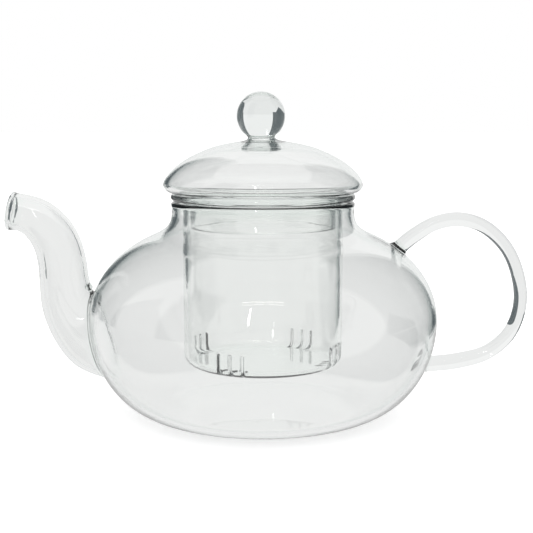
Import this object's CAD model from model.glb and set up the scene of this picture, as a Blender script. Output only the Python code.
import logging
import math
from dataclasses import dataclass
from enum import Enum

import bmesh
import bpy
import numpy as np
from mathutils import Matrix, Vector


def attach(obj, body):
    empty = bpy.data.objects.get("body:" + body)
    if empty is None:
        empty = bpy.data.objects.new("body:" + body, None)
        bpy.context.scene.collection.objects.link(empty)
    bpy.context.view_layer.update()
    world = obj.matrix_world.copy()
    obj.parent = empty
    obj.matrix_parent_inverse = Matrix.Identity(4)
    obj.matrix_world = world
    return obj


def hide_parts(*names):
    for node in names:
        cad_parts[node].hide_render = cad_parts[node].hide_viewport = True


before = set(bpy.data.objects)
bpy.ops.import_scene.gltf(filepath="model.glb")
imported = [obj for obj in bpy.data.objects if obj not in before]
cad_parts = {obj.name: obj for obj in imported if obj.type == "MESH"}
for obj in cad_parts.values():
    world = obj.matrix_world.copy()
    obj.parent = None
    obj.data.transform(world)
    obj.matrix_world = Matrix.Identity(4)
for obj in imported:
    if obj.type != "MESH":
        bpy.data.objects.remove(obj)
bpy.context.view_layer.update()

# Visual model of a clear glass teapot: a blown pot with spout and handle, a slit infuser, a hollow lid.
# Metres, +Z up, spout towards -X, handle towards +X, origin in the middle of the flat base.

LOG = logging.getLogger("teapot")
MM = 0.001
WELD_GRAIN = 1e-6
SAME_PLACE = 1e-9
FINE_STEP = 0.05 * MM
PATH_STEP = 0.2 * MM
SEARCH_POINTS = 1200
HALF_TURN = math.pi
FULL_TURN = 2 * math.pi


class Body(Enum):
    """The three loose pieces of the teapot, by the name of the body that each rides on."""

    POT = "pot"
    INFUSER = "infuser"
    LID = "lid"


class Slot(Enum):
    """The record's finishes that the pieces below have."""

    CLEAR = "clear_glass"
    THICK = "thick_glass"


# ---------------------------------------------------------------- lines


def straight(start: tuple[float, float], stop: tuple[float, float], count: int = 2) -> np.ndarray:
    """Evenly spaced points on a straight line.

    Args:
        start: first point.
        stop: last point.
        count: how many points, both ends included.

    Returns:
        Array of shape (count, 2).
    """
    share = np.linspace(0.0, 1.0, count)[:, None]
    return (1.0 - share) * np.array(start) + share * np.array(stop)


def arc(centre: tuple[float, float], radii: tuple[float, float], start: float, stop: float,
        count: int = 48) -> np.ndarray:
    """Points on an ellipse: centre plus (first radius x cosine, second radius x sine) of the angle.

    Args:
        centre: middle of the ellipse.
        radii: half widths along the two axes.
        start: first angle in degrees.
        stop: last angle in degrees.
        count: how many points.

    Returns:
        Array of shape (count, 2).
    """
    angle = np.radians(np.linspace(start, stop, count))
    return np.stack([centre[0] + radii[0] * np.cos(angle), centre[1] + radii[1] * np.sin(angle)], axis=1)


def bezier(controls: np.ndarray, count: int) -> np.ndarray:
    """Bezier curve: the control points weighted by the binomial terms of the share along the curve.

    Args:
        controls: control points along the first axis; any shape after it.
        count: how many points.

    Returns:
        Array of shape (count, ...) with the controls' trailing shape.
    """
    order = len(controls) - 1
    share = np.linspace(0.0, 1.0, count)
    terms = np.stack([math.comb(order, i) * share**i * (1.0 - share) ** (order - i)
                      for i in range(order + 1)])
    return np.tensordot(terms.T, np.asarray(controls), axes=1)


def running_length(line: np.ndarray) -> np.ndarray:
    """Length along a line at each of its points."""
    return np.concatenate([[0.0], np.cumsum(np.linalg.norm(np.diff(line, axis=0), axis=1))])


def resampled(line: np.ndarray, spacing: float) -> np.ndarray:
    """The same line with evenly spaced points.

    Args:
        line: points, shape (n, k).
        spacing: wanted distance between points.

    Returns:
        Array of shape (m, k); both ends are kept.
    """
    run = running_length(line)
    stops = np.linspace(0.0, run[-1], max(2, round(run[-1] / spacing) + 1))
    return np.stack([np.interp(stops, run, line[:, i]) for i in range(line.shape[1])], axis=1)


def eased(line: np.ndarray, reach: float) -> np.ndarray:
    """Line with its corners rounded: evenly resampled, then averaged under a bell-shaped window.

    Args:
        line: points, shape (n, 2).
        reach: half width of the window.

    Returns:
        Array of shape (m, 2) with the same two ends.
    """
    fine = resampled(line, FINE_STEP)
    half = max(2, round(reach / FINE_STEP))
    before = 2.0 * fine[0] - fine[half:0:-1]
    after = 2.0 * fine[-1] - fine[-2:-half - 2:-1]
    padded = np.concatenate([before, fine, after])
    window = np.hanning(2 * half + 3)[1:-1]
    window /= window.sum()
    return np.stack([np.convolve(padded[:, i], window, mode="valid") for i in range(2)], axis=1)


def joined(*parts: np.ndarray) -> np.ndarray:
    """One line out of several that follow each other, with the shared points kept once."""
    whole = np.concatenate(parts)
    step = np.linalg.norm(np.diff(whole, axis=0), axis=1)
    return whole[np.concatenate([[True], step > SAME_PLACE])]


def moved_square(line: np.ndarray, distance: np.ndarray | float) -> np.ndarray:
    """Line moved to its left: each point plus the distance times the tangent turned a quarter turn.

    Args:
        line: points, shape (n, 2).
        distance: one distance, or one for each point.

    Returns:
        Array of shape (n, 2).
    """
    tangent = np.gradient(line, axis=0)
    tangent /= np.linalg.norm(tangent, axis=1, keepdims=True)
    left = np.stack([-tangent[:, 1], tangent[:, 0]], axis=1)
    return line + left * np.broadcast_to(distance, (len(line),))[:, None]


def smooth_through(stations: np.ndarray, per_span: int = 40) -> np.ndarray:
    """Catmull-Rom curve through the stations: each span is the cubic whose end slopes follow its neighbours.

    Args:
        stations: points, shape (n, k).
        per_span: points on each span.

    Returns:
        Array of shape (m, k), evenly spaced.
    """
    p = np.vstack([2 * stations[0] - stations[1], stations, 2 * stations[-1] - stations[-2]])
    a, b, c, d = (q[:, None, :] for q in (p[:-3], p[1:-2], p[2:-1], p[3:]))
    t = np.linspace(0.0, 1.0, per_span, endpoint=False)[None, :, None]
    curve = 0.5 * (2 * b + (c - a) * t + (2 * a - 5 * b + 4 * c - d) * t**2 + (3 * b - a - 3 * c + d) * t**3)
    return resampled(np.vstack([curve.reshape(-1, stations.shape[1]), stations[-1:]]), PATH_STEP)


def about_axis(radius: np.ndarray | float, angle: np.ndarray, height: np.ndarray | float) -> np.ndarray:
    """Points by their place about the upright axis: (radius x cosine, radius x sine, height).

    Args:
        radius: distances from the axis.
        angle: angles about it, broadcast against the distances.
        height: heights, broadcast in the same way.

    Returns:
        Points with a last axis of 3.
    """
    return np.stack(np.broadcast_arrays(radius * np.cos(angle), radius * np.sin(angle), height), axis=-1)


def wrapped(angle: np.ndarray) -> np.ndarray:
    """Angles brought to between minus and plus half a turn."""
    return np.angle(np.exp(1j * angle))


@dataclass(frozen=True)
class Profile:
    """Line of (radius, height) points that is turned about the upright axis."""

    points: np.ndarray

    @property
    def run(self) -> np.ndarray:
        """Length along the line at each point."""
        return running_length(self.points)

    def at(self, length: np.ndarray) -> tuple[np.ndarray, np.ndarray]:
        """Radius and height at the given lengths along the line."""
        run = self.run
        return np.interp(length, run, self.points[:, 0]), np.interp(length, run, self.points[:, 1])

    def length_at(self, height: np.ndarray) -> np.ndarray:
        """Length along the line where it stands at a height; the line rises or falls all the way."""
        rising = self.points[-1, 1] > self.points[0, 1]
        order = slice(None) if rising else slice(None, None, -1)
        return np.interp(height, self.points[order, 1], self.run[order])

    def radius_at(self, height: np.ndarray) -> np.ndarray:
        """Radius of the turned surface at a height."""
        rising = self.points[-1, 1] > self.points[0, 1]
        order = slice(None) if rising else slice(None, None, -1)
        return np.interp(height, self.points[order, 1], self.points[order, 0])

    def turned(self, length: np.ndarray, angle: np.ndarray) -> np.ndarray:
        """Surface of revolution: the radius and height at each length, taken to each angle.

        Args:
            length: lengths along the line.
            angle: angles about the axis, broadcast against the lengths.

        Returns:
            Points with a last axis of 3.
        """
        radius, height = self.at(length)
        return about_axis(radius, angle, height)


@dataclass(frozen=True)
class BentPath:
    """Smooth line in the XZ plane that carries an oval section.

    The line holds x, z, the section's half thickness in the plane and its half width across it.
    """

    line: np.ndarray

    @property
    def length(self) -> float:
        """Length of the line."""
        return float(running_length(self.line[:, :2])[-1])

    def frames(self, share: np.ndarray) -> tuple[np.ndarray, np.ndarray, np.ndarray, np.ndarray]:
        """Centre, in-plane normal and half sizes at shares of the length; straight on beyond the end.

        Args:
            share: position along the line, 0 to 1, or a little more.

        Returns:
            Centre and normal with a last axis of 3, half thickness and half width.
        """
        stops = np.linspace(0.0, 1.0, len(self.line))
        x, z, thick, wide = (np.interp(share, stops, self.line[:, i]) for i in range(4))
        tangent = np.gradient(self.line[:, :2], axis=0)
        tangent /= np.linalg.norm(tangent, axis=1, keepdims=True)
        tx, tz = (np.interp(share, stops, tangent[:, i]) for i in range(2))
        beyond = np.maximum(share - 1.0, 0.0) * self.length
        centre = np.stack([x + beyond * tx, 0 * x, z + beyond * tz], axis=-1)
        normal = np.stack([-tz, 0 * tx, tx], axis=-1)
        return centre, normal, thick, wide

    def skin(self, share: np.ndarray, angle: np.ndarray, grow: np.ndarray | float = 0.0) -> np.ndarray:
        """Surface of the section carried along the line.

        A point is the centre, plus cosine times the grown half thickness along the normal, plus sine
        times the grown half width across.

        Args:
            share: position along the line.
            angle: angle round the section.
            grow: how far outside the section's own surface.

        Returns:
            Points with a last axis of 3.
        """
        share, angle, grow = np.broadcast_arrays(share, angle, grow)
        centre, normal, thick, wide = self.frames(share)
        out = (thick + grow) * np.cos(angle)
        side = (wide + grow) * np.sin(angle)
        return centre + out[..., None] * normal + side[..., None] * np.array([0.0, 1.0, 0.0])

    def angle_of(self, share: float, points: np.ndarray) -> np.ndarray:
        """Angles round the section at a share of the length towards which points lie, without a jump.

        Args:
            share: position along the line.
            points: points round the line.

        Returns:
            One angle for each point.
        """
        centre, normal, thick, wide = self.frames(np.array(share))
        away = points - centre
        return np.unwrap(np.arctan2(away[:, 1] / wide, (away @ normal) / thick))

    def leaves(self, angle: np.ndarray, grow: np.ndarray | float, wall: Profile,
               back: bool = False) -> np.ndarray:
        """Share of the length at which the grown section's lines come out of a turned surface.

        The lines are followed from inside; the first sample outside and the one before it give the place
        by straight interpolation of the distance to the surface.

        Args:
            angle: one angle for each line.
            grow: how far outside the section's own surface.
            wall: outline of the turned surface.
            back: follow the line from its far end.

        Returns:
            One share for each angle.
        """
        share = np.linspace(0.0, 1.0, SEARCH_POINTS)[:: -1 if back else 1]
        grow = np.broadcast_to(grow, angle.shape)
        points = self.skin(share[None, :], angle[:, None], grow[:, None])
        gap = np.hypot(points[..., 0], points[..., 1]) - wall.radius_at(points[..., 2])
        first = np.maximum((gap > 0).argmax(axis=1), 1)
        row = np.arange(len(angle))
        inside, outside = gap[row, first - 1], gap[row, first]
        part = inside / (inside - outside)
        return share[first - 1] + part * (share[first] - share[first - 1])


# ---------------------------------------------------------------- meshes


class Skin:
    """Grids of points that are sewn into one closed mesh."""

    def __init__(self, name: str) -> None:
        """Starts an empty skin with the name of its object."""
        self.name = name
        self.points: list[np.ndarray] = []
        self.quads: list[np.ndarray] = []
        self.tone: list[np.ndarray] = []
        self.ground: list[np.ndarray] = []
        self.count = 0

    def add(self, grid: np.ndarray, keep: np.ndarray | None = None, tone: np.ndarray | float = 0.0,
            ground: float = 0.0) -> None:
        """Adds a grid of points and the four-sided faces between them.

        Args:
            grid: points, shape (rows, columns, 3).
            keep: which faces to keep, shape (rows - 1, columns - 1); all of them if left out.
            tone: how much of the thick glass's tint each point shows, 0 to 1.
            ground: how matt the faces are, 0 for polished and 1 for sawn.
        """
        rows, columns = grid.shape[:2]
        index = self.count + np.arange(rows * columns).reshape(rows, columns)
        corners = np.stack([index[:-1, :-1], index[:-1, 1:], index[1:, 1:], index[1:, :-1]], axis=-1)
        self.quads.append(corners[keep] if keep is not None else corners.reshape(-1, 4))
        self.points.append(grid.reshape(-1, 3))
        self.tone.append(np.broadcast_to(tone, (rows, columns)).ravel())
        self.ground.append(np.full(rows * columns, ground))
        self.count += rows * columns

    def sewn(self) -> bpy.types.Object:
        """Welds points that share a place, drops pinched corners and turns the faces outwards.

        Points are compared on a grid of a thousandth of a millimetre. A face with two corners in one
        place becomes a triangle.

        Returns:
            The new object, with its place in its mesh.
        """
        points = np.concatenate(self.points)
        _, first, back = np.unique(np.round(points / WELD_GRAIN).astype(np.int64), axis=0,
                                   return_index=True, return_inverse=True)
        quads = back.ravel()[np.concatenate(self.quads)]
        twin = quads == np.roll(quads, -1, axis=1)
        plain = quads[~twin.any(axis=1)]
        once = twin.sum(axis=1) == 1
        order = (twin[once].argmax(axis=1)[:, None] + np.arange(1, 4)) % 4
        pinched = np.take_along_axis(quads[once], order, axis=1)
        mesh = bpy.data.meshes.new(self.name)
        mesh.from_pydata(points[first].tolist(), [], plain.tolist() + pinched.tolist())
        for label, values in (("tone", self.tone), ("ground", self.ground)):
            layer = mesh.attributes.new(label, "FLOAT", "POINT")
            layer.data.foreach_set("value", np.concatenate(values)[first].astype(np.float32))
        work = bmesh.new()
        work.from_mesh(mesh)
        loose = [v for v in work.verts if not v.link_faces]
        bmesh.ops.delete(work, geom=loose, context="VERTS")
        bmesh.ops.recalc_face_normals(work, faces=work.faces)
        work.to_mesh(mesh)
        work.free()
        mesh.polygons.foreach_set("use_smooth", np.ones(len(mesh.polygons), dtype=bool))
        made = bpy.data.objects.new(self.name, mesh)
        bpy.context.scene.collection.objects.link(made)
        return made


def window_loop(rows: tuple[int, int], columns: tuple[int, int]) -> tuple[np.ndarray, np.ndarray]:
    """Row and column numbers once round the edge of a window in a grid, back to the first.

    Args:
        rows: first and last row.
        columns: first and last column.

    Returns:
        Row numbers and column numbers, one more than the window has edge points.
    """
    (r0, r1), (c0, c1) = rows, columns
    step = 1 if r1 > r0 else -1
    across, up = np.arange(c0, c1), np.arange(r0, r1, step)
    row = np.concatenate([np.full(len(across), r0), up, np.full(len(across), r1), up[::-1] + step, [r0]])
    column = np.concatenate([across, np.full(len(up), c1), across[::-1] + 1, np.full(len(up), c0), [c0]])
    return row, column


# ---------------------------------------------------------------- finishes


@dataclass(frozen=True)
class GlassFinish:
    """Clear glass with drawn ripples, faint smears, matt sawn faces and a light grey-green tint.

    The tint shows in thick beads, in the depth of the glass and, beads apart, at grazing angles.
    """

    name: str
    index: float = 1.47
    tint: tuple[float, float, float] = (0.986, 0.990, 0.986)
    bead_tint: tuple[float, float, float] = (0.955, 0.978, 0.965)
    mottle_size: tuple[float, float, float] = (60.0, 60.0, 60.0)
    mottle_detail: float = 3.0
    mottle_span: tuple[float, float] = (0.3, 0.7)
    mottle_share: tuple[float, float] = (0.85, 1.15)
    edge_tint: tuple[float, float, float] = (0.55, 0.66, 0.62)
    edge_facing: tuple[float, float] = (0.72, 1.0)
    absorb: tuple[float, float, float] = (0.62, 0.72, 0.68)
    absorb_density: float = 12.0
    ripple_size: tuple[float, float, float] = (22.0, 22.0, 130.0)
    ripple_detail: float = 2.0
    ripple_depth: float = 0.035
    smear_size: tuple[float, float, float] = (45.0, 45.0, 30.0)
    smear_detail: float = 4.0
    smear_span: tuple[float, float] = (0.48, 0.75)
    smear_rough: float = 0.018
    sawn_rough: float = 0.42

    def make(self) -> bpy.types.Material:
        """Builds the node material.

        Returns:
            The material.
        """
        material = bpy.data.materials.new(self.name)
        material.use_nodes = True
        tree = material.node_tree
        shader = tree.nodes["Principled BSDF"]
        shader.inputs["Transmission Weight"].default_value = 1.0
        shader.inputs["IOR"].default_value = self.index
        place = tree.nodes.new("ShaderNodeTexCoord")
        tree.links.new(self.colour(tree, place), shader.inputs["Base Color"])
        tree.links.new(self.roughness(tree, place), shader.inputs["Roughness"])
        tree.links.new(self.ripples(tree, place), shader.inputs["Normal"])
        inside = tree.nodes.new("ShaderNodeVolumeAbsorption")
        inside.inputs["Color"].default_value = (*self.absorb, 1.0)
        inside.inputs["Density"].default_value = self.absorb_density
        tree.links.new(inside.outputs["Volume"], tree.nodes["Material Output"].inputs["Volume"])
        return material

    def colour(self, tree: bpy.types.NodeTree, place: bpy.types.Node) -> bpy.types.NodeSocket:
        """Clear tint, then the beads' tint, then the edge tint.

        The beads' share is the mesh's tone times a mottle. The edge's share is a ramp of the Facing
        weight times one minus the tone, so that thick beads don't get it.

        Args:
            tree: the material's node tree.
            place: its coordinate node.

        Returns:
            Socket with the colour.
        """
        tone = self.from_mesh(tree, "tone")
        mottle = self.noise(tree, place, self.mottle_size, self.mottle_detail)
        spread = self.mapped(tree, mottle, self.mottle_span, self.mottle_share)
        bead = self.reckoned(tree, "MULTIPLY", tone, spread)
        bead.node.use_clamp = True
        colour = self.blended(tree, bead, (*self.tint, 1.0), (*self.bead_tint, 1.0))
        facing = tree.nodes.new("ShaderNodeLayerWeight").outputs["Facing"]
        grazing = self.mapped(tree, facing, self.edge_facing, (0.0, 1.0))
        thin = self.mapped(tree, tone, (0.0, 1.0), (1.0, 0.0))
        edge = self.reckoned(tree, "MULTIPLY", grazing, thin)
        return self.blended(tree, edge, colour, (*self.edge_tint, 1.0))

    def roughness(self, tree: bpy.types.NodeTree, place: bpy.types.Node) -> bpy.types.NodeSocket:
        """Faint smears from a noise, plus the sawn faces from the mesh's ground value.

        Args:
            tree: the material's node tree.
            place: its coordinate node.

        Returns:
            Socket with the roughness.
        """
        smear = self.noise(tree, place, self.smear_size, self.smear_detail)
        wiped = self.mapped(tree, smear, self.smear_span, (0.0, self.smear_rough))
        sawn = self.mapped(tree, self.from_mesh(tree, "ground"), (0.0, 1.0), (0.0, self.sawn_rough))
        return self.reckoned(tree, "ADD", wiped, sawn)

    def ripples(self, tree: bpy.types.NodeTree, place: bpy.types.Node) -> bpy.types.NodeSocket:
        """Ripples of the drawn glass: a noise squeezed along one axis and fed to a bump.

        Args:
            tree: the material's node tree.
            place: its coordinate node.

        Returns:
            Socket with the bent normal.
        """
        bump = tree.nodes.new("ShaderNodeBump")
        bump.inputs["Strength"].default_value = self.ripple_depth
        bump.inputs["Distance"].default_value = MM
        tree.links.new(self.noise(tree, place, self.ripple_size, self.ripple_detail), bump.inputs["Height"])
        return bump.outputs["Normal"]

    @staticmethod
    def from_mesh(tree: bpy.types.NodeTree, label: str) -> bpy.types.NodeSocket:
        """Socket with a value that the mesh holds for each point."""
        node = tree.nodes.new("ShaderNodeAttribute")
        node.attribute_name = label
        return node.outputs["Fac"]

    @staticmethod
    def reckoned(tree: bpy.types.NodeTree, operation: str, first: bpy.types.NodeSocket,
                 second: bpy.types.NodeSocket) -> bpy.types.NodeSocket:
        """Math node on two values.

        Args:
            tree: the material's node tree.
            operation: what it does with them.
            first: socket with the first value.
            second: socket with the second value.

        Returns:
            Socket with the result.
        """
        node = tree.nodes.new("ShaderNodeMath")
        node.operation = operation
        tree.links.new(first, node.inputs[0])
        tree.links.new(second, node.inputs[1])
        return node.outputs[0]

    @staticmethod
    def blended(tree: bpy.types.NodeTree, share: bpy.types.NodeSocket,
                start: bpy.types.NodeSocket | tuple[float, ...],
                stop: tuple[float, ...]) -> bpy.types.NodeSocket:
        """Mix node from one colour to another.

        Its colours go in at the seventh and eighth sockets and come out at the third.

        Args:
            tree: the material's node tree.
            share: socket with the share of the second colour.
            start: the first colour, fixed or a socket.
            stop: the second colour.

        Returns:
            Socket with the mixed colour.
        """
        node = tree.nodes.new("ShaderNodeMix")
        node.data_type = "RGBA"
        share_in, start_in, stop_in = (node.inputs[i] for i in (0, 6, 7))
        tree.links.new(share, share_in)
        if isinstance(start, tuple):
            start_in.default_value = start
        else:
            tree.links.new(start, start_in)
        stop_in.default_value = stop
        return node.outputs[2]

    @staticmethod
    def noise(tree: bpy.types.NodeTree, place: bpy.types.Node, scale: tuple[float, float, float],
              detail: float) -> bpy.types.NodeSocket:
        """Noise on Object coordinates, squeezed by its own scale on each axis.

        Args:
            tree: the material's node tree.
            place: its coordinate node.
            scale: grains per metre along X, Y and Z.
            detail: how many finer layers.

        Returns:
            Socket with the noise.
        """
        squeeze = tree.nodes.new("ShaderNodeMapping")
        squeeze.inputs["Scale"].default_value = scale
        grain = tree.nodes.new("ShaderNodeTexNoise")
        grain.inputs["Scale"].default_value = 1.0
        grain.inputs["Detail"].default_value = detail
        tree.links.new(place.outputs["Object"], squeeze.inputs["Vector"])
        tree.links.new(squeeze.outputs["Vector"], grain.inputs["Vector"])
        return grain.outputs["Fac"]

    @staticmethod
    def mapped(tree: bpy.types.NodeTree, value: bpy.types.NodeSocket, source: tuple[float, float],
               target: tuple[float, float]) -> bpy.types.NodeSocket:
        """Map Range node from one span of values to another.

        Args:
            tree: the material's node tree.
            value: the socket that gives the value.
            source: span it comes from.
            target: span it goes to.

        Returns:
            Socket with the result.
        """
        node = tree.nodes.new("ShaderNodeMapRange")
        for socket, number in zip(("From Min", "From Max", "To Min", "To Max"), (*source, *target)):
            node.inputs[socket].default_value = number
        tree.links.new(value, node.inputs["Value"])
        return node.outputs["Result"]


def dressed(made: bpy.types.Object, finish: bpy.types.Material, body: Body,
            nodes: tuple[str, ...]) -> bpy.types.Object:
    """Gives a finished mesh its material, its body and the nodes that it stands for.

    Args:
        made: the object.
        finish: its material.
        body: the body that it rides on.
        nodes: the frame's nodes that it replaces.

    Returns:
        The same object.
    """
    made.data.materials.append(finish)
    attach(made, body.value)
    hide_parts(*nodes)
    LOG.info("%s: %d faces, stands for %s", made.name, len(made.data.polygons), ", ".join(nodes))
    return made


# ---------------------------------------------------------------- the pot


@dataclass
class Pot:
    """Blown pot with neck, mouth bead, spout and handle, all one piece of glass."""

    base_flat: float = 38.5 * MM
    belly: float = 71.7 * MM
    belly_height: float = 40.0 * MM
    shoulder_centre: float = 20.0 * MM
    shoulder_rise: float = 39.5 * MM
    shoulder_end: float = 46.0 * MM
    neck: float = 37.5 * MM
    neck_root: float = 83.5 * MM
    neck_pull: tuple[float, float] = (4.5 * MM, 5.6 * MM)
    wall: float = 1.8 * MM
    wall_swell: float = 0.4 * MM
    bead: float = 1.25 * MM
    bead_centre: tuple[float, float] = (36.5 * MM, 87.2 * MM)
    bead_start: float = -36.87
    bead_end: float = 205.0
    bead_tone_rise: float = 2.5 * MM
    neck_top_drop: float = 0.75 * MM
    ease: float = 0.35 * MM
    inner_step: float = 0.4 * MM
    around: int = 240
    row_step: float = 1.5 * MM
    fillet_points: int = 9
    spout_stations: tuple[tuple[float, float, float], ...] = (
        (-54.0, 30.5, 17.5), (-62.0, 31.5, 17.5), (-70.0, 33.4, 16.0), (-76.0, 38.0, 13.2),
        (-80.4, 45.5, 11.4), (-82.2, 54.0, 10.3), (-82.9, 62.0, 9.9), (-84.5, 69.3, 9.6),
        (-87.6, 75.6, 9.2), (-92.6, 80.7, 8.5), (-98.0, 83.2, 7.8), (-103.3, 84.2, 7.4))
    spout_wall: float = 1.7 * MM
    spout_window_heights: tuple[float, float] = (7.0 * MM, 58.0 * MM)
    spout_window_rows: int = 32
    spout_window_half: int = 15
    spout_fillet: float = 1.8 * MM
    spout_fillet_rise: float = 3.0 * MM
    spout_inner_fillet: float = 1.5 * MM
    spout_fillet_tone: float = 0.7
    spout_root_shrink: float = 10.0 * MM
    tube_rows: int = 64
    lip: float = 1.1 * MM
    lip_inset: float = 0.5 * MM
    lip_reach: float = 3.0 * MM
    lip_turn: tuple[float, float] = (-40.0, 220.0)
    lip_ease: float = 0.3 * MM
    lip_step: float = 0.35 * MM
    lip_tone: float = 0.5
    handle_stations: tuple[tuple[float, float, float], ...] = (
        (53.0, 65.5, 3.1), (57.5, 70.2, 3.1), (62.7, 74.4, 3.1), (70.4, 78.9, 3.0), (79.6, 80.8, 3.0),
        (88.4, 79.1, 2.9), (95.6, 74.4, 2.8), (101.6, 67.2, 2.7), (105.4, 58.0, 2.7), (106.9, 48.2, 2.7),
        (105.4, 38.9, 2.7), (101.0, 31.0, 2.9), (92.6, 24.5, 3.1), (81.4, 21.4, 3.3), (71.5, 20.2, 3.3),
        (63.0, 19.6, 3.3))
    handle_half_width: float = 3.6 * MM
    handle_window_half: int = 6
    handle_window_rows: int = 12
    handle_root_shrink: float = 2.5 * MM
    handle_roots: tuple[float, float] = (70.4 * MM, 19.9 * MM)
    handle_pad: float = 1.9 * MM
    handle_pad_rise: float = 2.6 * MM
    handle_pad_tone: float = 0.8
    handle_pad_steps: int = 6
    pad_waves: tuple[float, float] = (0.22, 0.1)
    pad_wave_counts: tuple[int, int] = (3, 5)
    pad_wave_start: float = 0.7
    rod_rows: int = 170
    dimple_depth: float = 0.9 * MM
    dimple_reach: float = 4.0 * MM
    dimple_way: tuple[float, float, float] = (0.94, 0.0, 0.34)
    knot_centre: tuple[float, float, float] = (-72.4 * MM, 0.0, 52.6 * MM)
    knot_size: tuple[float, float, float] = (1.7 * MM, 2.2 * MM, 1.6 * MM)
    knot_tone: float = 0.8

    def bulb_line(self) -> np.ndarray:
        """Outside of bulb and neck: flat base, two quarter ellipses and a Bezier sweep into the neck."""
        reach = self.belly - self.shoulder_centre
        last = math.acos((self.shoulder_end - self.shoulder_centre) / reach)
        upper = arc((self.shoulder_centre, self.belly_height), (reach, self.shoulder_rise),
                    0, math.degrees(last))
        slope = self.shoulder_rise * math.cos(last) / (reach * math.sin(last))
        end_r, end_z = upper[-1]
        pull_r, pull_z = self.neck_pull
        sweep = bezier(np.array([(end_r, end_z), (end_r - pull_r, end_z + slope * pull_r),
                                 (self.neck, self.neck_root - pull_z), (self.neck, self.neck_root)]), 48)
        lower = arc((self.base_flat, self.belly_height), (self.belly - self.base_flat, self.belly_height),
                    -90, 0)
        neck_top = (self.neck, self.bead_centre[1] - self.neck_top_drop)
        return joined(straight((0.0, 0.0), (self.base_flat, 0.0)), lower, upper, sweep,
                      straight((self.neck, self.neck_root), neck_top))

    def outer(self) -> Profile:
        """Outside outline from the middle of the base to the top of the mouth bead."""
        bead = arc(self.bead_centre, (self.bead, self.bead), self.bead_start, 90)
        return Profile(eased(joined(self.bulb_line(), bead), self.ease))

    def inner(self) -> Profile:
        """Inside outline from the top of the mouth bead down to the middle of the floor."""
        line = resampled(self.bulb_line(), self.inner_step)
        swell = self.wall_swell * np.abs(line[:, 1] / self.belly_height - 1.0)
        inside = moved_square(line, self.wall + swell)[::-1]
        inside[-1, 0] = 0.0
        bead = arc(self.bead_centre, (self.bead, self.bead), 90, self.bead_end)
        below = inside[inside[:, 1] < self.neck_root]
        return Profile(eased(joined(bead, below), self.ease))

    def spout_path(self) -> BentPath:
        """Centre line and radius of the spout."""
        x, z, r = (np.array(self.spout_stations) * MM).T
        return BentPath(smooth_through(np.stack([x, z, r, r], axis=1)))

    def handle_path(self) -> BentPath:
        """Centre line and section of the handle rod."""
        x, z, half = (np.array(self.handle_stations) * MM).T
        line = smooth_through(np.stack([x, z, half, 0 * x + self.handle_half_width], axis=1))
        return BentPath(line)

    def spout_columns(self) -> tuple[int, int]:
        """First and last column of the spout's window, three quarters of the way round the grid."""
        middle = self.around // 4 * 3
        return middle - self.spout_window_half, middle + self.spout_window_half

    def rows(self, line: Profile) -> tuple[np.ndarray, int]:
        """Lengths along an outline for the grid's rows, with a fixed number across the spout's window.

        Args:
            line: the outside or the inside outline.

        Returns:
            The lengths, and the number of the window's first row.
        """
        ends = np.sort(line.length_at(np.array(self.spout_window_heights)))
        counts = [round(ends[0] / self.row_step), self.spout_window_rows,
                  round((line.run[-1] - ends[1]) / self.row_step)]
        stops = (0.0, *ends, line.run[-1])
        parts = [np.linspace(a, b, n, endpoint=False) for a, b, n in zip(stops, stops[1:], counts)]
        return np.concatenate([*parts, [line.run[-1]]]), counts[0]

    @staticmethod
    def window_patch(line: Profile, lengths: np.ndarray, angles: np.ndarray,
                     loop: tuple[np.ndarray, np.ndarray], ring: np.ndarray, grid: np.ndarray,
                     steps: int = 9) -> np.ndarray:
        """Surface between a round hole and the square window round it, on the turned wall.

        Length along the outline and angle about the axis go straight from the hole's edge to the
        window's edge, and the turned surface is taken at each.

        Args:
            line: the wall's outline.
            lengths: lengths of the grid's rows.
            angles: angles of the grid's columns.
            loop: row and column numbers round the window.
            ring: points of the hole's edge, one for each of the loop.
            grid: the wall's points, whose edge is copied so that both meet exactly.
            steps: rows of faces in the patch.

        Returns:
            Grid of shape (steps + 1, loop, 3).
        """
        row, column = loop
        middle = angles[column].mean()
        turn = wrapped(np.arctan2(ring[:, 1], ring[:, 0]) - middle) + middle
        start = line.length_at(ring[:, 2])
        share = np.linspace(0.0, 1.0, steps + 1)[:, None]
        patch = line.turned((1 - share) * start + share * lengths[row],
                            (1 - share) * turn + share * angles[column])
        patch[0] = ring
        patch[-1] = grid[row, column]
        return patch

    def spout(self, skin: Skin, out_line: Profile, in_line: Profile, out_grid: np.ndarray,
              in_grid: np.ndarray, out_rows: tuple[np.ndarray, int], in_rows: tuple[np.ndarray, int],
              angles: np.ndarray) -> None:
        """Adds the spout as a double-walled tube that grows out of the bulb's two surfaces.

        Each column is a line along the tube at one angle of its section: a quadratic Bezier fillet off
        the bulb, the tube's outside, the lip's arc, the tube's inside and a second fillet.

        Args:
            skin: the pot's skin.
            out_line: outside outline.
            in_line: inside outline.
            out_grid: outside points.
            in_grid: inside points.
            out_rows: outside row lengths and first row of the window.
            in_rows: inside row lengths and first row of the window.
            angles: angles of the columns.
        """
        path, columns = self.spout_path(), self.spout_columns()
        out_loop = window_loop((out_rows[1], out_rows[1] + self.spout_window_rows), columns)
        in_loop = window_loop((in_rows[1] + self.spout_window_rows, in_rows[1]), columns)
        root = float(path.leaves(np.array([0.0]), -self.spout_root_shrink, out_line)[0])
        phi = path.angle_of(root, out_grid[out_loop])
        phi[-1] = phi[0] + np.sign(phi[-1] - phi[0]) * FULL_TURN

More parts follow.
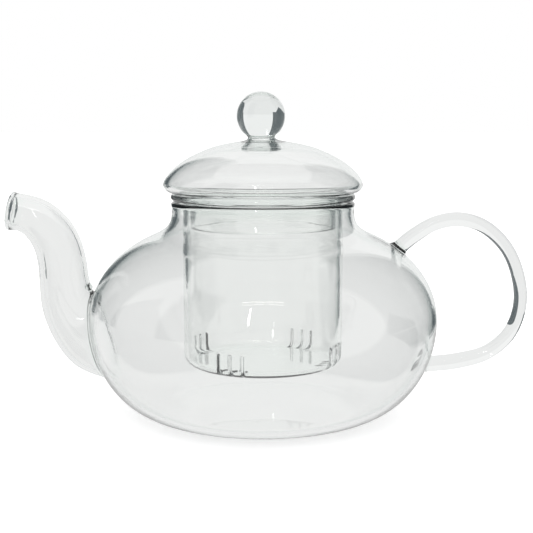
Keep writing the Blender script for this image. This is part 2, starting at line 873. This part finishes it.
        out_edge = path.skin(path.leaves(phi, self.spout_fillet, out_line), phi, self.spout_fillet)
        out_start = path.leaves(phi, 0.0, out_line)
        rise = self.spout_fillet_rise / path.length
        out_corner, out_rise = path.skin(out_start, phi), path.skin(out_start + rise, phi)
        in_grow = self.spout_inner_fillet - self.spout_wall
        in_edge = path.skin(path.leaves(phi, in_grow, in_line), phi, in_grow)
        in_start = path.leaves(phi, -self.spout_wall, in_line)
        in_corner = path.skin(in_start, phi, -self.spout_wall)
        in_rise = path.skin(in_start + rise, phi, -self.spout_wall)

        turn = np.radians(np.linspace(*self.lip_turn, 60))
        lip = np.stack([self.lip * np.sin(turn), self.lip * np.cos(turn) - self.lip_inset], axis=1)
        rim = joined(straight((-self.lip_reach, 0.0), lip[0]), lip,
                     straight(lip[-1], (-self.lip_reach, -self.spout_wall)))
        rim = resampled(eased(rim, self.lip_ease), self.lip_step)
        lip_share = 1.0 - self.lip_reach / path.length
        part = np.linspace(0.0, 1.0, self.tube_rows)[:, None]
        outside = path.skin((1 - part) * (out_start + rise) + part * lip_share, phi[None, :])
        turned_over = path.skin(1.0 + rim[:, :1] / path.length, phi[None, :], rim[:, 1:])
        inside = path.skin((1 - part[::-1]) * (in_start + rise) + part[::-1] * lip_share, phi[None, :],
                           -self.spout_wall)
        outside[0], inside[-1] = out_rise, in_rise
        turned_over[0], turned_over[-1] = outside[-1], inside[0]
        out_fillet = bezier(np.stack([out_edge, out_corner, out_rise]), self.fillet_points)
        in_fillet = bezier(np.stack([in_rise, in_corner, in_edge]), self.fillet_points)
        for grid, tone in ((out_fillet, self.spout_fillet_tone), (outside, 0.0), (turned_over, self.lip_tone),
                           (inside, 0.0), (in_fillet, self.spout_fillet_tone)):
            grid[:, -1] = grid[:, 0]
            skin.add(grid, tone=tone)
        for line, rows, loop, edge, wall in ((out_line, out_rows, out_loop, out_edge, out_grid),
                                             (in_line, in_rows, in_loop, in_edge, in_grid)):
            edge[-1] = edge[0]
            skin.add(self.window_patch(line, rows[0], angles, loop, edge, wall))

    def handle(self, skin: Skin, line: Profile, grid: np.ndarray, lengths: np.ndarray,
               angles: np.ndarray) -> list[tuple[tuple[int, int], tuple[int, int]]]:
        """Adds the solid handle rod, spread into a pad where each root is fused to the bulb.

        Args:
            skin: the pot's skin.
            line: outside outline.
            grid: outside points.
            lengths: lengths of the rows.
            angles: angles of the columns.

        Returns:
            The windows that the two roots take in the outside grid, as row and column spans.
        """
        path = self.handle_path()
        middle = self.around // 4
        columns = (middle - self.handle_window_half, middle + self.handle_window_half)
        ends, windows = [], []
        for height, back in zip(self.handle_roots, (False, True)):
            centre_row = int(np.abs(lengths - line.length_at(np.array(height))).argmin())
            rows = (centre_row - self.handle_window_rows // 2, centre_row + self.handle_window_rows // 2)
            loop = window_loop(rows, columns)
            root = float(path.leaves(np.array([0.0]), -self.handle_root_shrink, line, back)[0])
            ends.append((loop, path.angle_of(root, grid[loop])))
            windows.append((rows, columns))
        (up_loop, up_phi), (low_loop, low_phi) = ends
        up_phi[-1] = up_phi[0] + np.sign(up_phi[-1] - up_phi[0]) * FULL_TURN
        low_loop, low_phi = self.matched(low_loop, low_phi, up_phi)
        (big, small), (few, many) = self.pad_waves, self.pad_wave_counts
        corners = []
        for phi, back in ((up_phi, False), (low_phi, True)):
            waves = big * np.sin(few * phi + self.pad_wave_start) + small * np.sin(many * phi)
            pad = self.handle_pad * (1.0 + waves)
            edge = path.skin(path.leaves(phi, pad, line, back), phi, pad)
            start = path.leaves(phi, 0.0, line, back)
            rise = start + (-1 if back else 1) * self.handle_pad_rise / path.length
            edge[-1] = edge[0]
            fillet = bezier(np.stack([edge, path.skin(start, phi), path.skin(rise, phi)]), self.fillet_points)
            corners.append((rise, fillet, edge))
        part = np.linspace(0.0, 1.0, self.rod_rows)[:, None]
        phi = (1 - part) * up_phi + part * low_phi
        share = (1 - part) * corners[0][0] + part * corners[1][0]
        rod = path.skin(share, phi)
        rod[0], rod[-1] = corners[0][1][-1], corners[1][1][-1]
        for surface, tone in ((corners[0][1], self.handle_pad_tone), (rod, 0.0),
                              (corners[1][1], self.handle_pad_tone)):
            surface[:, -1] = surface[:, 0]
            skin.add(surface, tone=tone)
        for loop, (_, _, edge) in zip((up_loop, low_loop), corners):
            skin.add(self.window_patch(line, lengths, angles, loop, edge, grid, self.handle_pad_steps))
        return windows

    @staticmethod
    def matched(loop: tuple[np.ndarray, np.ndarray], phi: np.ndarray,
                goal: np.ndarray) -> tuple[tuple[np.ndarray, np.ndarray], np.ndarray]:
        """Turns a window's loop round until its angles run beside those of the other root.

        Args:
            loop: row and column numbers.
            phi: their angles round the rod.
            goal: angles of the other root's loop.

        Returns:
            The turned loop and its angles, running on without a jump.
        """
        row, column, phi = loop[0][:-1], loop[1][:-1], phi[:-1]
        if (phi[-1] - phi[0]) * (goal[-1] - goal[0]) < 0:
            row, column, phi = row[::-1], column[::-1], phi[::-1]
        shift = -int(np.abs(wrapped(phi - goal[0])).argmin())
        row, column, phi = (np.roll(values, shift) for values in (row, column, phi))
        phi = np.unwrap(phi)
        phi = phi - FULL_TURN * np.round((phi[0] - goal[0]) / FULL_TURN)
        closed = phi[0] + np.sign(phi[-1] - phi[0]) * FULL_TURN
        return (np.append(row, row[0]), np.append(column, column[0])), np.append(phi, closed)

    def dimpled(self, grid: np.ndarray, line: Profile) -> np.ndarray:
        """Inside wall pushed in under the handle's roots by a bell curve of the distance to each root."""
        for height in self.handle_roots:
            radius = float(line.radius_at(np.array(height)))
            away = np.linalg.norm(grid - np.array([radius, 0.0, height]), axis=-1)
            push = self.dimple_depth * np.exp(-(away / self.dimple_reach) ** 2)
            grid = grid - push[..., None] * np.array(self.dimple_way)
        return grid

    def build(self, finish: GlassFinish) -> None:
        """Builds and dresses the pot."""
        skin = Skin("pot_glass")
        angles = np.linspace(-HALF_TURN / 2, 1.5 * HALF_TURN, self.around + 1)
        out_line, in_line = self.outer(), self.inner()
        out_rows, in_rows = self.rows(out_line), self.rows(in_line)
        out_grid = out_line.turned(out_rows[0][:, None], angles[None, :])
        in_grid = self.dimpled(in_line.turned(in_rows[0][:, None], angles[None, :]), in_line)
        in_grid[0] = out_grid[-1]
        for grid in (out_grid, in_grid):
            grid[:, -1] = grid[:, 0]
        windows = self.handle(skin, out_line, out_grid, out_rows[0], angles)
        self.spout(skin, out_line, in_line, out_grid, in_grid, out_rows, in_rows, angles)
        out_window, in_window = (((rows[1], rows[1] + self.spout_window_rows), self.spout_columns())
                                 for rows in (out_rows, in_rows))
        for line, lengths, grid, cuts in ((out_line, out_rows[0], out_grid, [*windows, out_window]),
                                          (in_line, in_rows[0], in_grid, [in_window])):
            keep = np.ones((grid.shape[0] - 1, grid.shape[1] - 1), dtype=bool)
            for (r0, r1), (c0, c1) in cuts:
                keep[r0:r1, c0:c1] = False
            height = line.at(lengths)[1]
            tone = np.clip((height - self.neck_root) / self.bead_tone_rise, 0.0, 1.0)[:, None]
            skin.add(grid, keep, tone)
        dressed(skin.sewn(), finish.make(), Body.POT,
                ("pot_bulb", "pot_neck", "pot_mouth_bead", "spout_tube", "spout_lip_bead", "spout_weld_ring",
                 "handle_rod", "handle_upper_weld", "handle_lower_weld"))
        self.knot(finish)

    def knot(self, finish: GlassFinish) -> None:
        """Small drop of glass in the upper corner of the spout's root: a ball drawn out along Y."""
        skin = Skin("spout_crotch_knot")
        lat = np.linspace(-HALF_TURN / 2, HALF_TURN / 2, 25)[:, None]
        lon = np.linspace(0.0, FULL_TURN, 49)[None, :]
        ball = about_axis(np.cos(lat), lon, np.sin(lat))
        grid = np.array(self.knot_centre) + np.array(self.knot_size) * ball
        grid[:, -1] = grid[:, 0]
        skin.add(grid, tone=self.knot_tone)
        dressed(skin.sewn(), finish.make(), Body.POT, ("spout_crotch_bead",))


# ---------------------------------------------------------------- the infuser


@dataclass
class Infuser:
    """Straight cup with slits, hanging by its rolled rim."""

    radius: float = 32.8 * MM
    wall: float = 1.6 * MM
    floor: float = 20.5 * MM
    corner: float = 4.2 * MM
    rim: float = 1.45 * MM
    rim_centre: tuple[float, float] = (36.4 * MM, 90.2 * MM)
    flare: float = 1.6 * MM
    bend_in: float = 0.9 * MM
    slit_width: float = 1.1 * MM
    slit_top: float = 30.2 * MM
    slit_inner: float = 27.0 * MM
    slit_groups: tuple[float, ...] = (-113.5, -24.0, 57.0, 152.0)
    slit_step: float = 9.0
    slit_clearance: float = 1.5
    crease_height: float = 67.8 * MM
    crease_step: float = 0.12 * MM
    crease_step_reach: float = 0.6 * MM
    crease_ridge: float = 0.22 * MM
    crease_ridge_reach: float = 0.9 * MM
    rim_foot: float = 6.0 * MM
    rim_ease: float = 0.3 * MM
    rim_step: float = 0.35 * MM
    rim_tone_start: float = 34.5 * MM
    rim_tone_reach: float = 1.2 * MM
    around: int = 240

    def cuts(self) -> np.ndarray:
        """Angles of the slits in degrees: three beside each other in each group."""
        return np.array([group + i * self.slit_step for group in self.slit_groups for i in (-1, 0, 1)])

    def off_cuts(self, degrees: np.ndarray) -> np.ndarray:
        """How many degrees each angle lies away from the nearest slit's middle."""
        return np.abs((degrees[:, None] - self.cuts()[None, :] + 180) % 360 - 180).min(axis=1)

    def slit_line(self, depth: float) -> np.ndarray:
        """Part of the wall that the slits cross: floor, round corner and wall, at a depth in the glass."""
        corner_r = self.corner - depth
        inner = self.radius - self.corner
        outer, bend_top = self.radius - depth, self.floor + self.corner
        return joined(straight((self.slit_inner, self.floor + depth), (inner, self.floor + depth), count=3),
                      arc((inner, bend_top), (corner_r, corner_r), -90, 0, count=9),
                      straight((outer, bend_top), (outer, self.slit_top), count=6))

    def creased(self, line: np.ndarray) -> np.ndarray:
        """Wall with a slight step and ridge at the height where the cup's two lengths were joined."""
        rise = line[:, 1] - self.crease_height
        step = self.crease_step * np.tanh(rise / self.crease_step_reach)
        ridge = self.crease_ridge * np.exp(-(rise / self.crease_ridge_reach) ** 2)
        return np.stack([line[:, 0] + step + ridge, line[:, 1]], axis=1)

    def rim_line(self) -> np.ndarray:
        """Flare, flange and rolled bead, from the cup's outside over the top to its inside."""
        r_in = self.radius - self.wall
        low, high = self.rim_centre[1] - self.wall / 2, self.rim_centre[1] + self.wall / 2
        turn_in = self.bend_in
        lean = math.degrees(math.asin(self.wall / 2 / self.rim))
        foot = low - self.rim_foot
        line = joined(straight((self.radius, foot), (self.radius, low - self.flare)),
                      arc((self.radius + self.flare, low - self.flare), (self.flare, self.flare), 180, 90),
                      arc(self.rim_centre, (self.rim, self.rim), -180 + lean, 180 - lean, count=72),
                      arc((r_in + turn_in, high - turn_in), (turn_in, turn_in), 90, 180),
                      straight((r_in, high - turn_in), (r_in, foot)))
        return resampled(eased(line, self.rim_ease), self.rim_step)

    def build(self, finish: GlassFinish) -> None:
        """Builds and dresses the infuser.

        Outside and inside are turned lines with the same rows where the slits are. The faces of each
        slit are left out of both, and its sawn sides are grids between the two.
        """
        skin = Skin("infuser_glass")
        half = math.degrees(self.slit_width / 2 / self.radius)
        even = np.linspace(-180.0, 180.0, self.around, endpoint=False)
        edges = (self.cuts()[:, None] + np.array([-half, 0.0, half])).ravel()
        edges = (edges + 180) % 360 - 180
        degrees = np.sort(np.concatenate([even[self.off_cuts(even) > self.slit_clearance * half], edges]))
        degrees = np.append(degrees, degrees[0] + 360)
        angles = np.radians(degrees)
        slit_columns = self.off_cuts(0.5 * (degrees[1:] + degrees[:-1])) < half
        rim = self.rim_line()
        walls = []
        for depth in (0.0, self.wall):
            floor = straight((0.0, self.floor + depth), (self.slit_inner, self.floor + depth), count=14)
            slit = self.slit_line(depth)
            low, high = (self.radius - depth, self.slit_top), (self.radius - depth, rim[0, 1])
            side = self.creased(straight(low, high, count=70))
            side[0], side[-1] = low, high
            walls.append((joined(floor, slit, side), len(floor) - 1, len(floor) + len(slit) - 2))
        grids = []
        for line, first, last in walls:
            grid = about_axis(line[:, :1], angles, line[:, 1:])
            grid[:, -1] = grid[:, 0]
            keep = np.ones((len(line) - 1, len(angles) - 1), dtype=bool)
            keep[first:last, slit_columns] = False
            level = np.clip((self.floor + self.corner - line[:, 1:]) / self.corner, 0.0, 1.0)
            skin.add(grid, keep, level)
            grids.append(grid)
        _, first, last = walls[0]
        both = np.stack(grids)
        edge_columns = np.flatnonzero(np.diff(np.concatenate([[0], slit_columns.astype(int), [0]])))
        for column in edge_columns:
            skin.add(both[:, first:last + 1, column], ground=1.0)
        for start, stop in zip(edge_columns[::2], edge_columns[1::2]):
            for row in (first, last):
                skin.add(both[:, row, start:stop + 1], ground=1.0)
        grid = about_axis(rim[:, :1], angles, rim[:, 1:])
        grid[0], grid[-1] = grids[0][-1], grids[1][-1]
        grid[:, -1] = grid[:, 0]
        tone = np.clip((rim[:, 0] - self.rim_tone_start) / self.rim_tone_reach, 0.0, 1.0)[:, None]
        skin.add(grid, tone=tone)
        dressed(skin.sewn(), finish.make(), Body.INFUSER, ("infuser_cup", "infuser_rim_bead"))


# ---------------------------------------------------------------- the lid


@dataclass
class Lid:
    """Hollow dome with rolled edge, skirt and ball knob, one piece of glass."""

    knob: float = 9.85 * MM
    knob_off_centre: float = -0.8 * MM
    knob_height: float = 122.9 * MM
    knob_shift_start: float = 0.8 * MM
    knob_shift_reach: float = 2.4 * MM
    waist: float = 5.9 * MM
    waist_pull: tuple[float, float] = (0.9 * MM, 0.2 * MM)
    crown: float = 113.3 * MM
    wall: float = 1.7 * MM
    dome: tuple[tuple[float, float], ...] = (
        (9.0, 112.8), (12.0, 112.3), (17.5, 111.2), (22.8, 109.6), (30.0, 106.3), (34.9, 103.1), (38.5, 99.7),
        (40.4, 97.0), (40.9, 95.2))
    edge: tuple[float, float] = (40.9 * MM, 95.2 * MM)
    collar: float = 91.95 * MM
    collar_edge: float = 37.2 * MM
    skirt: float = 29.9 * MM
    skirt_wall: float = 1.6 * MM
    skirt_foot: float = 76.9 * MM
    drop: tuple[float, float] = (6.6 * MM, 1.9 * MM)
    ease: float = 0.35 * MM
    line_step: float = 0.5 * MM
    inner_step: float = 0.3 * MM
    around: int = 192

    def outline(self) -> np.ndarray:
        """Closed outline from the top of the knob, down the outside, and up the inside to the axis."""
        touch = math.degrees(math.acos(self.waist / self.knob))
        ball = arc((0.0, self.knob_height), (self.knob, self.knob), 90, -touch, count=60)
        stations = np.array(self.dome) * MM
        deep, slight = self.waist_pull
        neck = bezier(np.array([ball[-1], (self.waist - deep, ball[-1, 1] - deep),
                                (self.waist - slight, self.crown), stations[0]]), count=24)
        dome = smooth_through(stations, per_span=12)
        pull = (self.edge[1] - self.collar) / 2
        roll = bezier(np.array([self.edge, (self.edge[0], self.edge[1] - pull),
                                (self.collar_edge + pull, self.collar), (self.collar_edge, self.collar)]),
                      count=30)
        outside = joined(dome, roll, straight((self.collar_edge, self.collar), (self.skirt, self.collar)))
        inside = moved_square(resampled(joined(dome, roll), self.inner_step), -self.wall)
        r_in = self.skirt - self.skirt_wall
        foot_r = self.skirt_wall / 2
        skirt = joined(straight((self.skirt, self.collar), (self.skirt, self.skirt_foot + foot_r)),
                       arc((self.skirt - foot_r, self.skirt_foot + foot_r), (foot_r, foot_r),
                           0, -180, count=24),
                       straight((r_in, self.skirt_foot + foot_r), (r_in, self.collar + self.wall)))
        drop_r, drop_h = self.drop
        under = inside[inside[:, 0] > drop_r][::-1]
        blob = arc((0.0, under[-1, 1]), (drop_r, drop_h), 0, -90, count=24)
        return joined(ball, neck, outside, skirt, under, blob)

    def build(self, finish: GlassFinish) -> None:
        """Builds and dresses the lid: the eased outline turned about the axis, its knob a little aside."""
        skin = Skin("lid_glass")
        line = eased(self.outline(), self.ease)
        line[0, 0] = line[-1, 0] = 0.0
        line = resampled(line, self.line_step)
        angles = np.linspace(0.0, FULL_TURN, self.around + 1)
        grid = about_axis(line[:, :1], angles, line[:, 1:])
        rise = np.clip((line[:, 1] - self.crown + self.knob_shift_start) / self.knob_shift_reach, 0.0, 1.0)
        grid[..., 0] += (self.knob_off_centre * rise * rise * (3.0 - 2.0 * rise))[:, None]
        grid[:, -1] = grid[:, 0]
        skin.add(grid)
        dressed(skin.sewn(), finish.make(), Body.LID,
                ("lid_dome", "lid_collar", "lid_skirt", "lid_knob", "lid_knob_neck", "lid_weld_blob"))


# ---------------------------------------------------------------- the studio


@dataclass(frozen=True)
class Lamp:
    """Rectangular soft light, by its place, its width and height, its watts and its colour."""

    name: str
    place: tuple[float, float, float]
    size: tuple[float, float]
    power: float
    warmth: tuple[float, float, float] = (1.0, 1.0, 1.0)

    def hang(self, aim: tuple[float, float, float]) -> None:
        """Hangs the light in its place, facing a point."""
        data = bpy.data.lights.new(self.name, "AREA")
        data.shape = "RECTANGLE"
        data.size, data.size_y = self.size
        data.energy = self.power
        data.color = self.warmth
        lamp = bpy.data.objects.new(self.name, data)
        lamp.location = self.place
        lamp.rotation_euler = (Vector(aim) - Vector(self.place)).to_track_quat("-Z", "Y").to_euler()
        bpy.context.scene.collection.objects.link(lamp)


@dataclass
class Studio:
    """White surroundings, pale floor, two small lights, the camera, and a second room for the glass to show.

    The glass shows a pale room and table with dark screens and cloths at the sides. They are kept from the
    camera and from diffuse and shadow rays, so beside the glass the camera sees only the floor and the
    white surroundings.
    """

    eye: tuple[float, float, float] = (1.44 * MM, -457.97 * MM, 124.85 * MM)
    pitch: float = 7.92
    lens: float = 75.44
    sensor: float = 36.0
    white: tuple[float, float, float, float] = (1.0, 1.0, 1.0, 1.0)
    sky: float = 1.0
    floor_half: float = 6.0
    floor_height: float = -0.10 * MM
    floor_grey: float = 0.9
    floor_glow: float = 0.55
    floor_rough: float = 0.9
    floor_shine: float = 0.1
    room_radius: float = 3.0
    room_foot: float = -0.02
    room_grey: float = 0.93
    table_radius: float = 3.03
    table_height: float = -0.05 * MM
    table_grey: float = 0.86
    dark: tuple[float, float, float] = (0.100, 0.120, 0.128)
    screen_radius: float = 1.1
    screen_height: float = 1.8
    screens: tuple[tuple[str, float, float], ...] = (
        ("right_screen", -6.0, 57.3), ("left_screen", 109.3, 164.0), ("front_left_screen", 200.0, 235.0))
    cloth_height: float = -0.03 * MM
    cloths: tuple[tuple[str, tuple[tuple[float, float], ...]], ...] = (
        ("left_far_cloth", ((-0.236, 0.33), (-0.563, 1.2), (-1.4, 1.2), (-0.9, 0.5))),
        ("right_near_cloth", ((0.165, 0.0), (0.8, -0.08), (0.9, 0.5), (0.150, 0.20))),
        ("right_far_cloth", ((0.150, 0.20), (0.9, 0.5), (1.2, 1.75), (0.203, 0.31))))
    lamps: tuple[Lamp, ...] = (
        Lamp("strip", (-0.15, -0.9, 0.70), (0.02, 0.4), 0.6),
        Lamp("bar", (0.0, -0.9, 1.3), (0.6, 0.015), 0.35, (1.0, 0.97, 0.93)))
    lamp_aim: tuple[float, float, float] = (0.0, 0.0, 0.06)
    glass_bounces: int = 64
    glossy_bounces: int = 8

    def put(self, name: str, grid: np.ndarray, material: bpy.types.Material, hidden: bool = True) -> None:
        """Adds a stage surface.

        Args:
            name: name of the object.
            grid: points, shape (rows, columns, 3).
            material: its material.
            hidden: whether it is kept from the camera and from diffuse and shadow rays.
        """
        rows, columns = grid.shape[:2]
        index = np.arange(rows * columns).reshape(rows, columns)
        quads = np.stack([index[:-1, :-1], index[:-1, 1:], index[1:, 1:], index[1:, :-1]], axis=-1)
        mesh = bpy.data.meshes.new(name)
        mesh.from_pydata(grid.reshape(-1, 3).tolist(), [], quads.reshape(-1, 4).tolist())
        mesh.polygons.foreach_set("use_smooth", np.ones(len(mesh.polygons), dtype=bool))
        mesh.materials.append(material)
        made = bpy.data.objects.new(name, mesh)
        bpy.context.scene.collection.objects.link(made)
        if hidden:
            made.visible_camera = False
            made.visible_diffuse = False
            made.visible_shadow = False
            made.visible_volume_scatter = False

    @staticmethod
    def glowing(name: str, colour: tuple[float, float, float]) -> bpy.types.Material:
        """Even glow of one colour that no light changes."""
        material = bpy.data.materials.new(name)
        material.use_nodes = True
        tree = material.node_tree
        tree.nodes.remove(tree.nodes["Principled BSDF"])
        glow = tree.nodes.new("ShaderNodeEmission")
        glow.inputs["Color"].default_value = (*colour, 1.0)
        tree.links.new(glow.outputs["Emission"], tree.nodes["Material Output"].inputs["Surface"])
        return material

    def floor(self) -> None:
        """Large level floor that glows a little, so that shadows on it stay faint."""
        material = bpy.data.materials.new("pale_floor")
        material.use_nodes = True
        shader = material.node_tree.nodes["Principled BSDF"]
        shader.inputs["Base Color"].default_value = (self.floor_grey,) * 3 + (1.0,)
        shader.inputs["Roughness"].default_value = self.floor_rough
        shader.inputs["Specular IOR Level"].default_value = self.floor_shine
        shader.inputs["Emission Color"].default_value = self.white
        shader.inputs["Emission Strength"].default_value = self.floor_glow
        side = np.array([-self.floor_half, self.floor_half])
        grid = np.stack(np.broadcast_arrays(side[None, :], side[:, None], self.floor_height), axis=-1)
        self.put("studio_floor", grid, material, hidden=False)

    def room(self) -> None:
        """Pale room and table for the glass to show: a half sphere and a disc of even glow."""
        lift = np.linspace(self.room_foot, HALF_TURN / 2, 24)[:, None]
        turn = np.linspace(0.0, FULL_TURN, 73)[None, :]
        dome = self.room_radius * about_axis(np.cos(lift), turn, np.sin(lift))
        self.put("room", dome, self.glowing("room_glow", (self.room_grey,) * 3))
        disc = about_axis(np.array([[0.0], [self.table_radius]]), turn, self.table_height)
        self.put("table", disc, self.glowing("table_glow", (self.table_grey,) * 3))

    def screen(self, name: str, start: float, stop: float) -> None:
        """Upright curved dark screen at one side, for the glass to show.

        Args:
            name: name of the object.
            start: first compass angle in degrees, 0 along +X and 90 along +Y.
            stop: last compass angle.
        """
        turn = np.radians(np.linspace(start, stop, 40))[None, :]
        height = np.linspace(0.0, self.screen_height, 4)[:, None]
        self.put(name, about_axis(self.screen_radius, turn, height), self.glowing(name, self.dark))

    def cloth(self, name: str, corners: tuple[tuple[float, float], ...]) -> None:
        """Dark cloth that lies flat on the table, for the glass to show.

        Args:
            name: name of the object.
            corners: its four corners in metres.
        """
        grid = np.array([[(*corners[0], 0.0), (*corners[1], 0.0)], [(*corners[3], 0.0), (*corners[2], 0.0)]])
        grid[..., 2] = self.cloth_height
        self.put(name, grid, self.glowing(name, self.dark))

    def world(self) -> None:
        """Even white surroundings."""
        world = bpy.data.worlds.new("studio")
        world.use_nodes = True
        background = world.node_tree.nodes["Background"]
        background.inputs["Color"].default_value = self.white
        background.inputs["Strength"].default_value = self.sky
        bpy.context.scene.world = world

    def camera(self) -> None:
        """Camera level with the knob, looking gently down at the pot."""
        data = bpy.data.cameras.new("camera")
        data.lens = self.lens
        data.sensor_width = self.sensor
        camera = bpy.data.objects.new("camera", data)
        camera.location = self.eye
        camera.rotation_euler = (math.radians(90.0 - self.pitch), 0.0, 0.0)
        bpy.context.scene.collection.objects.link(camera)
        bpy.context.scene.camera = camera

    def build(self) -> None:
        """Sets up the whole studio and the way light is traced through glass."""
        self.world()
        self.floor()
        self.room()
        for screen in self.screens:
            self.screen(*screen)
        for cloth in self.cloths:
            self.cloth(*cloth)
        for lamp in self.lamps:
            lamp.hang(self.lamp_aim)
        self.camera()
        scene = bpy.context.scene
        scene.view_settings.view_transform = "Standard"
        scene.cycles.max_bounces = self.glass_bounces
        scene.cycles.transmission_bounces = self.glass_bounces
        scene.cycles.glossy_bounces = self.glossy_bounces
        scene.cycles.use_denoising = True


def main() -> None:
    """Builds the studio, then the teapot piece by piece."""
    logging.basicConfig(level=logging.INFO, format="%(name)s: %(message)s")
    Studio().build()
    Pot().build(GlassFinish("pot_clear"))
    Infuser().build(GlassFinish("infuser_clear"))
    Lid().build(GlassFinish("lid_clear"))


if __name__ == "__main__":
    main()
